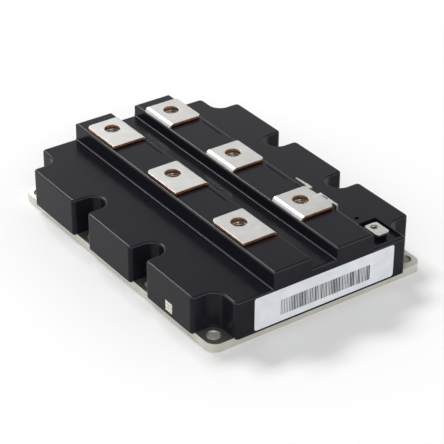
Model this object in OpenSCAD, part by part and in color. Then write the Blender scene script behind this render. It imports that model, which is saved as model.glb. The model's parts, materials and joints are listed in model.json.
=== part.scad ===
// High-power IGBT module: a metal base plate carries six ceramic substrates under a moulded
// housing with two long ridges, six folded screw terminals and their nuts.
// X runs along the long side, Y across it and Z up from the underside of the base plate.

/* [Base plate] */
// Length of the metal base plate
plate_l = 187; // [183:0.5:190]
// Width of the metal base plate
plate_w = 137; // [134:0.5:142]
// Thickness of the base plate
plate_t = 5; // [4:0.5:7]
// Corner radius of the base plate
plate_r = 6; // [3:0.5:8]

/* [Fixing holes] */
// Diameter of each fixing hole
fix_d = 7; // [5.5:0.1:8]
// Pitch of the four holes along a long side
fix_pitch = 57; // [55:0.5:57.5]
// Distance between the two lines of holes
fix_rows = 124; // [120:0.5:126]
// Width of the chamfer round each hole
fix_chamfer = 0.6; // [0.2:0.1:1]

/* [Housing] */
// Overhang of the housing past the plate on each side
overhang = 1.5; // [0.8:0.1:2]
// Height of the side decks above the underside
deck_z = 26; // [24:0.5:29]
// Height of the trough between the ridges
trough_z = 29.2; // [27:0.1:32]
// Height of the two ridges
ridge_z = 36; // [34:0.5:40]
// Width of each ridge
ridge_w = 24; // [23:0.5:25]
// Thickness of the outer walls
wall = 4; // [3.4:0.2:4.6]
// Thickness of the decks and of the trough floor
roof = 3; // [2:0.2:4]
// Radius of the pocket round each fixing hole
pocket_r = 7; // [6.5:0.1:7.5]
// Rounding of the upright block corners
corner_r = 2.5; // [1.6:0.1:4]
// Rounding of the top edges
edge_r = 1.2; // [0.6:0.1:1.5]
// Rounding at the foot of the ridges
foot_r = 0.8; // [0.4:0.1:1.2]
// Depth of the lip that hides the top of the plate's edge
lip_h = 0.8; // [0.4:0.1:1.5]

/* [Main terminals] */
// Pitch of the three terminals in a row
term_pitch = 61.5; // [60.5:0.1:62]
// Place of the middle terminal along the housing
term_x0 = -13.25; // [-15:0.05:-12]
// Distance between the two rows
row_gap = 40; // [39:0.1:41]
// Thickness of the terminal sheet
tab_t = 1.5; // [1:0.1:1.8]
// Gap between the ridge and the underside of a tab
tab_lift = 0.5; // [0.3:0.1:1]
// Diameter of the hole in each tab
tab_hole_d = 9; // [8.4:0.1:10]
// Reach of a tab from its hole towards the free edge
tab_reach = 10.6; // [9:0.1:11.5]
// Reach of a tab from its hole to the left
tab_left = 10.4; // [9:0.1:11]
// Reach of a collector tab from its hole to the right
tab_right_c = 18.5; // [14:0.1:19]
// Reach of an emitter tab from its hole to the right
tab_right_e = 15.1; // [14:0.1:19]
// Outer radius of the fold
bend_r = 3; // [2.4:0.1:3.4]

/* [Nuts] */
// Width across flats of the main nuts
nut_af = 13; // [12:0.1:14]
// Height of the main nuts
nut_h = 6.5; // [5:0.1:7]
// Bore of the main nuts, the core diameter of their thread
nut_bore = 6.8; // [6:0.1:7.2]
// Depth left for the screw below the top of a tab
screw_depth = 16; // [13:0.5:17]
// Width across flats of the small nuts
aux_nut_af = 6; // [5.5:0.1:6.2]
// Height of the small nuts
aux_nut_h = 3.2; // [2.4:0.1:3.6]
// Bore of the small nuts
aux_nut_bore = 3.3; // [3:0.1:3.6]

/* [Control terminals] */
// Height of the top of the control tabs
aux_z = 28; // [27.5:0.1:29]
// Thickness of the control tabs
aux_t = 1; // [0.8:0.1:1.2]
// Width of the gate tab
gate_tab_w = 8.4; // [7.5:0.1:9]
// Width of the sense tab behind the ridge
sense_tab_w = 6.6; // [6:0.1:6.8]
// Depth of the recess round a control tab
recess_d = 1.8; // [1:0.1:2.2]

/* [Substrates] */
// Length of each ceramic substrate
sub_l = 48; // [47:0.5:50]
// Width of each ceramic substrate
sub_w = 43; // [42.5:0.5:44]
// Thickness of the ceramic
ceramic_t = 1; // [0.4:0.1:1.2]
// Thickness of each copper layer
copper_t = 0.3; // [0.2:0.05:0.5]
// Side of the square chips
chip_a = 12.5; // [11.5:0.1:12.8]
// Thickness of the chips
chip_t = 0.4; // [0.2:0.05:0.6]
// Surface height of the gel over the plate
gel_h = 10; // [8.5:0.5:10]

/* [Gate board] */
// Length of the gate board
board_l = 168; // [160:1:174]
// Width of the gate board
board_w = 15; // [14.6:0.1:15.2]
// Thickness of the gate board
board_t = 1.6; // [1:0.1:1.6]

/* [Label] */
// Length of the label on the end face
label_l = 90; // [60:1:95]
// Height of the label
label_h = 19.4; // [12:0.1:20]
// Thickness of the label
label_t = 0.15; // [0.1:0.05:0.3]

/* [Hidden] */
$fn = 48;
e = 0.01;

// overall form
body_l = plate_l + 2 * overhang;
body_w = plate_w + 2 * overhang;
body_z = plate_t - lip_h;
lip_gap = 0.3;
fix_y = fix_rows / 2;
fix_xs = [for (i = [-1.5:1:1.5]) i * fix_pitch];
end_w = fix_rows - 2 * pocket_r;
block_w = fix_pitch - 2 * pocket_r;
row_y = row_gap / 2;
ridge_in = row_y - ridge_w / 2;
ridge_out = row_y + ridge_w / 2;
cavity_top = deck_z - roof;

// terminals
sides = [-1, 1];
function term_x(k) = term_x0 + (k - 1) * term_pitch;
tab_top = ridge_z + tab_lift + tab_t;
leg_in = ridge_in + 0.6;
leg_z = tab_top - screw_depth - 1.5;
slot_gap = 0.3;
nut_floor = ridge_z - nut_h;
// corner radii of a tab's free edge, left and right, for the two rows
corners_c = [3, 0.6];
corners_e = [1.4, 2.4];

// substrates and what stands on them, each place taken from the substrate's own centre
sub_y = 24;
sub_shift = 13.25;
function sub_x(k) = term_x(k) + sub_shift;
copper_z = plate_t + 2 * copper_t + ceramic_t;
chip_z = copper_z + chip_t;
gate_strip = [3, 5.2];
emitter_track = [6.2, 12];
collector_pad = [13.5, sub_y + sub_w / 2 - 0.7];
chip_margin = 1.25;
chip_col = (sub_l - chip_a) / 2 - chip_margin;
chip_cols = [-chip_col, 0, chip_col];
chip_row_gap = 0.9;
chip_row_2 = collector_pad[1] - 0.4 - chip_a / 2;
chip_row_1 = chip_row_2 - chip_a - chip_row_gap;
ribbon_xs = [4.1 - chip_col, 1.8, 4.8, chip_col - 3.5, chip_col, chip_col + 3.5];
ribbon_w = 1.6;
ribbon_t = 0.25;
ribbon_rise = 2;
ribbon_top = chip_z + ribbon_rise + ribbon_t;

// busbar feet: a narrow drop, a cross bridge and one foot on each substrate
drop_w = 6;
c_drop = 3.5 - sub_l / 2 + sub_shift;
e_drop = -6.5 + sub_shift;
bridge_z = plate_t + gel_h;
c_foot = [14, 17.5];

// gate board hangs from posts under the trough
board_z = bridge_z + tab_t + 2.3;
post_xs = [for (k = [0:2]) sub_x(k) + 5];
post_r = 2.6;
board_screw_r = 1.1;
gate_pin = [sub_l / 2 - 2, (gate_strip[0] + gate_strip[1]) / 2];
sense_pin = [sub_l / 2 - 8, emitter_track[0] + 0.6];
pin_r = 0.4;

// control terminals: place of the hole
gate_at = [79.4, 45.2];
sense_at = [60.5, ridge_out + 4.4];
aux_left = 4.4;
aux_right = 8.2;
aux_fold = 1.5;
aux_floor = deck_z - recess_d;
lead_t = 0.8;
lead_z = board_z - lead_t;
lead_w = 3;

// screws through the plate into the housing
screw_r = 1.9;
boss_r = 3.2;
boss_at = [for (s = sides, t = sides) each [[s * (body_l / 2 - wall - 3), t * (end_w / 2 - wall - 2.5)],
    [s * (sub_x(2) + sub_x(1)) / 2, t * 46]]];

label_at = [1.4, plate_t + 0.3];

// ---------- shared outlines ----------

// Rectangle with round corners, centred
module round_rect(l, w, r) {
    square([l - 2 * r, w], center = true);
    square([l, w - 2 * r], center = true);
    for (x = sides, y = sides) translate([x * (l / 2 - r), y * (w / 2 - r)]) circle(r);
}

// Rectangle from x0 to x1 and from y0 to y1
module span(x0, x1, y0, y1) {
    translate([x0, y0]) square([x1 - x0, y1 - y0]);
}

// Outline of the housing seen from above, set in by d
module plan(d = 0) {
    r = max(corner_r - d, 0.5);
    difference() {
        union() {
            round_rect(body_l - 2 * d, end_w - 2 * d, r);
            for (i = [-1:1]) translate([i * fix_pitch, 0]) round_rect(block_w - 2 * d, body_w - 2 * d, r);
            for (x = fix_xs, s = sides) pocket_fill(x, s, d);
        }
        for (x = fix_xs, s = sides) translate([x, s * fix_y]) circle(pocket_r + d, $fn = 64);
    }
}

// Material between a pocket's round end and the blocks beside it
module pocket_fill(x, s, d) {
    outer = abs(x) > fix_pitch;
    left = outer && x < 0 ? 0 : pocket_r + d + e;
    right = outer && x > 0 ? 0 : pocket_r + d + e;
    inner = end_w / 2 - d - 1;
    translate([x, s > 0 ? inner : -fix_y]) span(-left, right, 0, fix_y - inner);
}

// Outline of the boss at p; the corner bosses run into the walls beside them
module boss_plan(p) {
    reach = [body_l / 2 - wall + e - abs(p[0]), end_w / 2 - wall + e - abs(p[1])];
    translate(p) {
        circle(boss_r);
        if (abs(p[0]) > 1.5 * fix_pitch)
            translate([p[0] > 0 ? 0 : -reach[0], p[1] > 0 ? 0 : -reach[1]]) square(reach);
    }
}

// ---------- base plate and screws ----------

module base_plate() {
    color([0.78, 0.77, 0.72]) difference() {
        linear_extrude(plate_t) round_rect(plate_l, plate_w, plate_r);
        for (x = fix_xs, s = sides) translate([x, s * fix_y, 0]) {
            translate([0, 0, -1]) cylinder(r = fix_d / 2, h = plate_t + 2);
            translate([0, 0, plate_t - fix_chamfer])
                cylinder(r1 = fix_d / 2, r2 = fix_d / 2 + fix_chamfer + e, h = fix_chamfer + e);
        }
        for (p = boss_at) translate(p) {
            translate([0, 0, -1]) cylinder(r = screw_r + 0.2, h = plate_t + 2);
            translate([0, 0, -e]) cylinder(r1 = 2 * screw_r + 0.2, r2 = screw_r + 0.2, h = screw_r);
        }
    }
}

module housing_screws() {
    color([0.6, 0.6, 0.62]) for (p = boss_at) translate(p) difference() {
        union() {
            cylinder(r1 = 2 * screw_r, r2 = screw_r, h = screw_r);
            translate([0, 0, screw_r - e]) cylinder(r = screw_r, h = 12);
        }
        translate([0, 0, -e]) cylinder(r = 1.2, h = 1.2, $fn = 6);
    }
}

// ---------- housing ----------

// What a rounded edge leaves out of a square corner at the origin, the solid being at -x and -y
module edge_profile(r) {
    difference() {
        translate([-r, -r]) square(r + e);
        translate([-r, -r]) circle(r);
    }
}

// Bar that rounds a straight top edge of length l, running along X with the face at +Y
module edge_bar(l) {
    rotate([90, 0, 90]) linear_extrude(l, center = true) edge_profile(edge_r);
}

// The same cut round an upright outside corner of radius r
module edge_outside(r, a) {
    rotate_extrude(angle = a) translate([r, 0]) edge_profile(edge_r);
}

// The same cut round the inside of a pocket of radius r
module edge_inside(r, a) {
    rotate_extrude(angle = a, $fn = 64) difference() {
        translate([r - e, -edge_r]) square(edge_r + e);
        translate([r + edge_r, -edge_r]) circle(edge_r);
    }
}

// Rounding along the outline of the decks
module deck_edges() {
    side_l = body_w / 2 - corner_r - fix_y;
    for (s = sides) scale([1, s, 1]) {
        for (i = [-1:1]) translate([i * fix_pitch, 0, 0]) {
            translate([0, body_w / 2, 0]) edge_bar(block_w - 2 * corner_r);
            for (t = sides) scale([t, 1, 1]) {
                translate([block_w / 2, fix_y + side_l / 2, 0]) rotate(-90) edge_bar(side_l);
                translate([block_w / 2 - corner_r, body_w / 2 - corner_r, 0]) edge_outside(corner_r, 90);
            }
        }
        for (t = sides) scale([t, 1, 1]) {
            translate([fix_pitch / 2, fix_y, 0]) rotate(180) edge_inside(pocket_r, 180);
            translate([1.5 * fix_pitch, fix_y, 0]) rotate(180) edge_inside(pocket_r, 90);
            end_l = body_l / 2 - corner_r - 1.5 * fix_pitch;
            translate([1.5 * fix_pitch + end_l / 2, end_w / 2, 0]) edge_bar(end_l);
            translate([body_l / 2 - corner_r, end_w / 2 - corner_r, 0]) edge_outside(corner_r, 90);
            face_l = end_w / 2 - corner_r - ridge_out;
            translate([body_l / 2, ridge_out + face_l / 2, 0]) rotate(-90) edge_bar(face_l);
        }
    }
}

// Rounding along the tops of the ridges
module ridge_edges() {
    for (s = sides) translate([0, s * row_y, 0]) {
        for (t = sides) scale([1, t, 1]) translate([0, ridge_w / 2, 0]) edge_bar(body_l + 2);
        for (t = sides) scale([t, 1, 1]) translate([body_l / 2, 0, 0]) rotate(-90) edge_bar(ridge_w + 2);
    }
}

// Fillets along the feet of the ridges, on the decks and in the trough
module foot_fillets() {
    for (s = sides) {
        foot_fillet(s * ridge_out, deck_z, s);
        foot_fillet(s * ridge_in, trough_z, -s);
    }
}

// One fillet whose corner runs along X at y and z, open towards side
module foot_fillet(y, z, side) {
    translate([0, y, z]) rotate([90, 0, 90]) linear_extrude(body_l, center = true) difference() {
        translate([side > 0 ? -e : -foot_r, -e]) square(foot_r + e);
        translate([side * foot_r, foot_r]) circle(foot_r);
    }
}

// Room for a folded leg and for the fold above it, both rows seen with v away from the middle
module leg_slot(right) {
    w = tab_left + right + 2 * slot_gap;
    translate([-tab_left - slot_gap, leg_in - slot_gap, leg_z - 3])
        cube([w, tab_t + 2 * slot_gap, ridge_z]);
    translate([-tab_left - slot_gap, leg_in - slot_gap, tab_top - bend_r - slot_gap])
        cube([w, bend_r + 2 * slot_gap, bend_r]);
}

// Hexagon pocket for a nut, with the way for its screw below
module nut_pocket(af, floor_z, top_z, bore, depth_z) {
    translate([0, 0, floor_z]) cylinder(r = (af + 0.4) / sqrt(3), h = top_z - floor_z + 1, $fn = 6);
    translate([0, 0, depth_z]) cylinder(r = bore / 2 + 0.8, h = floor_z - depth_z + 1);
}

// Hollow under a ridge between two terminals
module ridge_core(x0, x1) {
    translate([x0, leg_in + tab_t + 1.6, plate_t])
        cube([x1 - x0, ridge_w - tab_t - 5.4, ridge_z - roof - plate_t]);
}

// Recess, pedestal and slot of a control terminal
module aux_recess(at, w, x0, x1, y0, y1) {
    translate([x0, y0, aux_floor]) cube([x1 - x0, y1 - y0, recess_d + 1]);
    translate([at[0] - aux_left - slot_gap, at[1] - w / 2 + 1 - slot_gap, cavity_top - 10])
        cube([aux_t + 2 * slot_gap, w - 2 + 2 * slot_gap, 20]);
}

module aux_pedestal(at, w) {
    translate([at[0] - aux_left + aux_t + slot_gap + 0.6, at[1] - w / 2, cavity_top - 4])
        cube([aux_left + 3.6, w, aux_z - aux_t - cavity_top + 4]);
}

module housing_shell() {
    translate([0, 0, body_z]) linear_extrude(deck_z - body_z) plan();
    translate([-body_l / 2, -ridge_out, cavity_top]) cube([body_l, 2 * ridge_out, trough_z - cavity_top]);
    for (s = sides) translate([-body_l / 2, s * row_y - ridge_w / 2, cavity_top])
        cube([body_l, ridge_w, ridge_z - cavity_top]);
}

module housing() {
    color([0.13, 0.13, 0.15]) difference() {
        union() {
            difference() {
                union() {
                    housing_shell();
                    foot_fillets();
                }
                translate([0, 0, deck_z]) deck_edges();
                translate([0, 0, ridge_z]) ridge_edges();
                for (t = sides) scale([t, 1, 1]) translate([body_l / 2, 0, trough_z]) rotate(-90) edge_bar(2 * ridge_in);
                translate([0, 0, body_z - 1]) linear_extrude(cavity_top - body_z + 1) plan(wall);
                // trough and ridges are hollow too
                translate([-body_l / 2 + wall, -ridge_in + 1.5, cavity_top - 1])
                    cube([body_l - 2 * wall, 2 * ridge_in - 3, trough_z - roof - cavity_top + 1]);
            }
            housing_inner();
            aux_pedestal(gate_at, gate_tab_w);
            aux_pedestal(sense_at, sense_tab_w);
        }
        housing_cuts();
    }
}

// Blocks round the nut pockets, ribs, screw bosses and the posts of the gate board
module housing_inner() {
    top = cavity_top + e;
    for (k = [0:2], s = sides) translate([term_x(k), s * row_y, 0])
        translate([-tab_left - 1.5, -ridge_w / 2, leg_z - 1]) cube([tab_left + tab_right_c + 3, ridge_w, top - leg_z + 1]);
    translate([0, 0, plate_t]) linear_extrude(top - plate_t) for (p = boss_at) boss_plan(p);
    for (x = post_xs) translate([x, 0, board_z + board_t])
        cylinder(r = post_r, h = trough_z - roof - board_z - board_t + e);
    for (i = [-1:1], t = sides, s = sides) scale([1, s, 1])
        translate([i * fix_pitch + t * block_w / 4 - 1, ridge_out, cavity_top - 4])
            cube([2, body_w / 2 - wall - ridge_out + e, 4 + e]);
}

module housing_cuts() {
    for (s = sides, k = [0:2]) translate([term_x(k), 0, 0]) scale([1, s, 1]) {
        leg_slot(s < 0 ? tab_right_c : tab_right_e);
        translate([0, row_y, 0]) rotate(30) nut_pocket(nut_af, nut_floor, ridge_z, nut_bore, tab_top - screw_depth);
        if (k < 2) ridge_core(tab_right_c + 3.5, term_pitch - tab_left - 3.5);
        // fine groove between two terminals
        if (k < 2) translate([19, s < 0 ? ridge_in + 2.8 : ridge_out - 3.3, ridge_z - 0.4]) cube([19, 0.6, 1]);
    }
    for (s = sides) scale([1, s, 1]) ridge_core(term_x(2) + tab_right_c + 3.5, body_l / 2 - wall);
    // seat on the plate and the groove of the seal bead
    translate([0, 0, body_z - 1]) linear_extrude(lip_h + 1)
        round_rect(plate_l + 2 * lip_gap, plate_w + 2 * lip_gap, plate_r + lip_gap);
    translate([0, 0, plate_t - e]) linear_extrude(0.5 + e) bead_plan();
    for (p = boss_at) translate([p[0], p[1], plate_t - 1]) cylinder(r = screw_r + 0.05, h = 12);
    for (x = post_xs) translate([x, 0, board_z]) cylinder(r = board_screw_r + 0.05, h = 7);
    // control terminals
    difference() {
        union() {
            aux_recess(gate_at, gate_tab_w, 70, body_l / 2 - 3, 2 * gate_at[1] - end_w / 2 + 1.2, end_w / 2 - 1.2);
            aux_recess(sense_at, sense_tab_w, sense_at[0] - 8, sense_at[0] + 9.5, ridge_out + 0.6, ridge_out + 8.2);
        }
        aux_pedestal(gate_at, gate_tab_w);
        aux_pedestal(sense_at, sense_tab_w);
    }
    for (p = [gate_at, sense_at]) translate(p) rotate(30)
        nut_pocket(aux_nut_af, aux_z - aux_t - aux_nut_h, aux_z, aux_nut_bore, aux_z - 8);
    // moulding marks on the decks
    for (k = [0:2]) translate([term_x(k), -ridge_out - 5.2, deck_z - 0.3]) cylinder(r = 1.4, h = 1);
    translate([gate_at[0] - 14.5, gate_at[1], deck_z - 1]) cylinder(r = 1.3, h = 2);
    // seat of the label
    translate([body_l / 2 - label_t, label_at[0] - label_l / 2, label_at[1]]) cube([1, label_l, label_h]);
}

module bead_plan() {
    difference() {
        plan(overhang + 0.7);
        plan(overhang + 1.9);
    }
}

module seal_bead() {
    color([0.75, 0.75, 0.72]) translate([0, 0, plate_t]) linear_extrude(0.5) bead_plan();
}

module label() {
    color([0.88, 0.9, 0.93]) translate([body_l / 2 - label_t, label_at[0], label_at[1] + label_h / 2])
        rotate([90, 0, 90]) linear_extrude(label_t) round_rect(label_l, label_h, 1.6);
}

// ---------- substrates, chips and bonds ----------

// Places its children on each of the six substrates, with v away from the middle
module each_substrate() {
    for (k = [0:2], s = sides) translate([sub_x(k), 0, 0]) scale([1, s, 1]) children();
}

module solder_copper() {
    color([0.72, 0.45, 0.3]) each_substrate() translate([0, sub_y, plate_t])
        linear_extrude(copper_t) square([sub_l - 1.4, sub_w - 1.4], center = true);
}

module ceramic_substrates() {
    color([0.9, 0.9, 0.86]) each_substrate() translate([0, sub_y, plate_t + copper_t])
        linear_extrude(ceramic_t) square([sub_l, sub_w], center = true);
}

module circuit_copper() {
    half = sub_l / 2 - 0.7;
    color([0.78, 0.5, 0.34]) each_substrate() translate([0, 0, copper_z - copper_t]) linear_extrude(copper_t) {
        span(-half, half, gate_strip[0], gate_strip[1]);
        span(-half, half, emitter_track[0], emitter_track[1]);
        span(-half, half, collector_pad[0], collector_pad[1]);
    }
}

module chip(x, v) {
    translate([x, v, copper_z]) linear_extrude(chip_t) square(chip_a, center = true);
}

module igbt_chips() {
    color([0.45, 0.47, 0.52]) each_substrate() {
        for (x = [chip_cols[0], chip_cols[2]]) for (v = [chip_row_1, chip_row_2]) chip(x, v);
    }
}

module diode_chips() {
    color([0.35, 0.37, 0.4]) each_substrate() for (v = [chip_row_1, chip_row_2]) chip(chip_cols[1], v);
}

// Bent strip in the v-z plane from v0 to v1, standing on height 0
module arch(v0, v1) {
    slope = (v1 - v0) / 4;
    lift = [0, ribbon_t];
    polygon(concat(
        [[v0, 0] + lift, [v0 + slope, ribbon_rise] + lift, [v1 - slope, ribbon_rise] + lift, [v1, 0] + lift],
        [[v1, 0], [v1 - slope, ribbon_rise], [v0 + slope, ribbon_rise], [v0, 0]]));
}

module bond_ribbons() {
    landing = (emitter_track[0] + emitter_track[1]) / 2 + 1;
    color([0.85, 0.86, 0.88]) each_substrate() for (x = ribbon_xs) translate([x - ribbon_w / 2, 0, 0]) {
        translate([0, 0, chip_z]) rotate([90, 0, 90]) linear_extrude(ribbon_w) {
            arch(landing, chip_row_1);
            arch(chip_row_1, chip_row_2);
            span(chip_row_1 - 1, chip_row_1 + 1, 0, ribbon_t);
            span(chip_row_2 - 1, chip_row_2 + 1, 0, ribbon_t);
        }
        translate([0, landing - 1.2, copper_z]) cube([ribbon_w, 2, chip_t + ribbon_t]);
    }
}

module silicone_gel() {
    room = ribbon_top + 0.4;
    color([0.75, 0.85, 0.9, 0.5]) difference() {
        translate([0, 0, plate_t]) linear_extrude(gel_h) plan(wall);
        each_substrate() translate([0, sub_y, plate_t - 1])
            linear_extrude(room - plate_t + 1) square([sub_l + 1, sub_w + 1], center = true);
        translate([0, 0, plate_t - 1]) linear_extrude(gel_h + 2) for (p = boss_at) boss_plan(p);
        for (k = [0:2], s = sides) translate([term_x(k), 0, plate_t]) scale([1, s, 1]) linear_extrude(gel_h + 1) {
            span(e_drop - 0.05, e_drop + drop_w + 0.05, leg_in - 0.05, leg_in + tab_t + 0.05);
            span(c_drop - 0.05, c_drop + drop_w + 0.05, c_foot[1] - 1 - tab_t - 0.05, c_foot[1] - 0.95);
        }
        each_substrate() for (p = [gate_pin, sense_pin]) translate([p[0], p[1], plate_t])
            cylinder(r = pin_r + 0.05, h = gel_h + 1);
    }
}

// ---------- gate board ----------

module gate_board() {
    color([0.12, 0.35, 0.2]) difference() {
        translate([sub_x(1), 0, board_z]) linear_extrude(board_t) round_rect(board_l, board_w, 1);
        for (x = post_xs) translate([x, 0, board_z - 1]) cylinder(r = board_screw_r + 0.3, h = board_t + 2);
    }
}

module board_screws() {
    color([0.65, 0.65, 0.66]) for (x = post_xs) translate([x, 0, board_z]) {
        translate([0, 0, -1.6]) cylinder(r = 2.1, h = 1.6);
        translate([0, 0, -e]) cylinder(r = board_screw_r, h = 6);
    }
}

module gate_resistors() {
    color([0.2, 0.2, 0.22]) each_substrate() translate([14, 4.2, board_z + board_t])
        linear_extrude(0.7) square([6.4, 3.2], center = true);
}

module gate_pins() {
    color([0.82, 0.8, 0.74]) each_substrate() for (p = [gate_pin, sense_pin])
        translate([p[0], p[1], copper_z]) cylinder(r = pin_r, h = board_z - copper_z, $fn = 24);
}

// ---------- main terminals ----------

// Plan of the flat tab, v measured from the middle of the module
module tab_plan(right, corners) {
    v0 = leg_in + bend_r;
    v1 = row_y + tab_reach;
    big = max(corners);
    difference() {
        union() {
            span(-tab_left, right, v0, v1 - big);
            span(-tab_left + corners[0], right - corners[1], v1 - big - 1, v1);
            span(-tab_left, 0, v1 - big - 1, v1 - corners[0]);
            span(0, right, v1 - big - 1, v1 - corners[1]);
            translate([-tab_left + corners[0], v1 - corners[0]]) circle(corners[0]);
            translate([right - corners[1], v1 - corners[1]]) circle(corners[1]);
        }
        translate([0, row_y]) circle(tab_hole_d / 2);
    }
}

// Fold and upright leg of a bar
module tab_fold(right) {
    translate([-tab_left, 0, 0]) rotate([90, 0, 90]) linear_extrude(tab_left + right) {
        intersection() {
            translate([leg_in + bend_r, tab_top - bend_r]) difference() {
                circle(bend_r);
                circle(bend_r - tab_t);
            }
            span(leg_in - 1, leg_in + bend_r, tab_top - bend_r, tab_top + 1);
        }
        span(leg_in, leg_in + tab_t, leg_z, tab_top - bend_r + e);
    }
}

// Sheet strip of the bar in the v-z plane, drop_w wide, starting at x
module bar_strip(x) {
    translate([x, 0, 0]) rotate([90, 0, 90]) linear_extrude(drop_w) children();
}

module collector_bar(k) {
    leg_out = c_foot[1] - 1;
    color([0.84, 0.83, 0.8]) translate([term_x(k), 0, 0]) scale([1, -1, 1]) {
        translate([0, 0, tab_top - tab_t]) linear_extrude(tab_t) tab_plan(tab_right_c, corners_c);
        tab_fold(tab_right_c);
        bar_strip(c_drop) {
            span(leg_in, leg_in + tab_t, bridge_z, leg_z + e);
            span(-leg_out, leg_out, bridge_z, bridge_z + tab_t);
            for (s = sides) scale([s, 1]) {
                span(leg_out - tab_t, leg_out, copper_z, bridge_z + e);
                span(c_foot[0], c_foot[1], copper_z, copper_z + tab_t);
            }
        }
    }
}

module emitter_bar(k) {
    leg_out = leg_in + tab_t;
    color([0.84, 0.83, 0.8]) translate([term_x(k), 0, 0]) {
        translate([0, 0, tab_top - tab_t]) linear_extrude(tab_t) tab_plan(tab_right_e, corners_e);
        tab_fold(tab_right_e);
        bar_strip(e_drop) {
            span(leg_in, leg_out, copper_z, leg_z + e);
            span(-leg_out, leg_out, bridge_z, bridge_z + tab_t);
            for (s = sides) scale([s, 1]) {
                span(leg_in, leg_out, copper_z, bridge_z + e);
                span(leg_out - 3.6, leg_out, copper_z, copper_z + tab_t);
            }
        }
    }
}

// Hexagon nut standing on its floor, with its corners turned off at the top
module hex_nut(af, h, bore) {
    difference() {
        intersection() {
            rotate(30) cylinder(r = af / sqrt(3), h = h, $fn = 6);
            cylinder(r1 = af / sqrt(3) + h, r2 = af / 2, h = h + 0);
        }
        translate([0, 0, -1]) cylinder(r = bore / 2, h = h + 2);
    }
}

module main_nuts() {
    color([0.75, 0.73, 0.66]) for (k = [0:2], s = sides) translate([term_x(k), s * row_y, nut_floor])
        hex_nut(nut_af, nut_h, nut_bore);
}

module control_nuts() {
    color([0.75, 0.73, 0.66]) for (p = [gate_at, sense_at]) translate([p[0], p[1], aux_z - aux_t - aux_nut_h])
        hex_nut(aux_nut_af, aux_nut_h, aux_nut_bore);
}

// ---------- control terminals ----------

// Folded tab with its leg and the inner lead that runs to the gate board at lead_x
module control_terminal(at, w, lead_x) {
    x0 = at[0] - aux_left;
    foot_y = at[1] - w / 2 + 1;
    translate([0, 0, aux_z - aux_t]) linear_extrude(aux_t) difference() {
        union() {
            span(x0 + aux_fold, at[0] + aux_right - 2, at[1] - w / 2, at[1] + w / 2);
            span(x0 + aux_fold, at[0] + aux_right, at[1] - w / 2 + 2, at[1] + w / 2 - 2);
            for (s = sides) translate([at[0] + aux_right - 2, at[1] + s * (w / 2 - 2)]) circle(2);
        }
        translate(at) circle(2.2);
    }
    translate([0, at[1] + w / 2 - 1, 0]) rotate([90, 0, 0]) linear_extrude(w - 2) {
        intersection() {
            translate([x0 + aux_fold, aux_z - aux_fold]) difference() {
                circle(aux_fold);
                circle(aux_fold - aux_t);
            }
            span(x0 - 1, x0 + aux_fold + e, aux_z - aux_fold, aux_z + 1);
        }
        span(x0, x0 + aux_t, lead_z, aux_z - aux_fold + e);
    }
    translate([0, 0, lead_z]) linear_extrude(lead_t) {
        span(x0, lead_x + lead_w, foot_y, foot_y + w - 2);
        span(lead_x, lead_x + lead_w, board_w / 2 - 2.5, foot_y + w - 2);
    }
}

module gate_terminal() {
    color([0.88, 0.84, 0.83]) control_terminal(gate_at, gate_tab_w, gate_at[0] - 0.4);
}

module sense_terminal() {
    color([0.88, 0.84, 0.83]) control_terminal(sense_at, sense_tab_w, sense_at[0] + 3.4);
}

// Thin strip along the free edge of the third emitter tab, down to the sense terminal
module sense_strip() {
    t = 0.8;
    y0 = row_y + tab_reach;
    yw = ridge_out + slot_gap;
    top = tab_top - t;
    // the slot stays inside the band between the tab and the ridge
    slot_w = min(0.7, (yw - y0) / 2);
    left = -tab_left + corners_e[0];
    right = tab_right_e - corners_e[1];
    color([0.84, 0.83, 0.8]) translate([term_x(2), 0, 0]) {
        translate([0, 0, top]) linear_extrude(t) {
            // finger that reaches past the tab's left corner
            polygon([[left, y0], [left + 2.4, y0], [left + 2.4, yw + t], [left - 1.8, yw + t],
                [left - 10.6, yw], [left - 10.6, yw - 0.9], [left - 2.2, yw - 0.9]]);
            // band along the edge with its slot
            difference() {
                span(0.4, right, y0, yw + t);
                span(3.4, 8, yw - slot_w, yw);
            }
            span(right - e, right + 2.6, yw - 0.5, yw + t);
        }
        translate([left, yw, ridge_z - 1.2]) cube([2.4, t, top - ridge_z + 1.2 + e]);
        translate([left, yw, ridge_z - 1.2]) cube([2 - left, t, 1]);
        translate([0.4, yw, ridge_z - 1.2]) cube([2, t, top - ridge_z + 1.2 + e]);
        translate([right + 0.6, yw, aux_z]) cube([2, t, top - aux_z + e]);
        translate([right + 0.6, yw, aux_z]) cube([2, sense_at[1] - yw - 2.4, t]);
    }
}

base_plate();
housing();
seal_bead();
housing_screws();
solder_copper();
ceramic_substrates();
circuit_copper();
igbt_chips();
diode_chips();
bond_ribbons();
silicone_gel();
gate_board();
gate_resistors();
gate_pins();
board_screws();
collector_bar(0);  // collector_bar_1
collector_bar(1);  // collector_bar_2
collector_bar(2);  // collector_bar_3
emitter_bar(0);  // emitter_bar_1
emitter_bar(1);  // emitter_bar_2
emitter_bar(2);  // emitter_bar_3
main_nuts();
gate_terminal();
sense_terminal();
control_nuts();
sense_strip();
label();
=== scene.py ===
"""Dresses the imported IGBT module: plastics, plated metals, label and a plain studio."""

import json
import math

import bmesh
import bpy
from mathutils import Matrix, Vector


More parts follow.
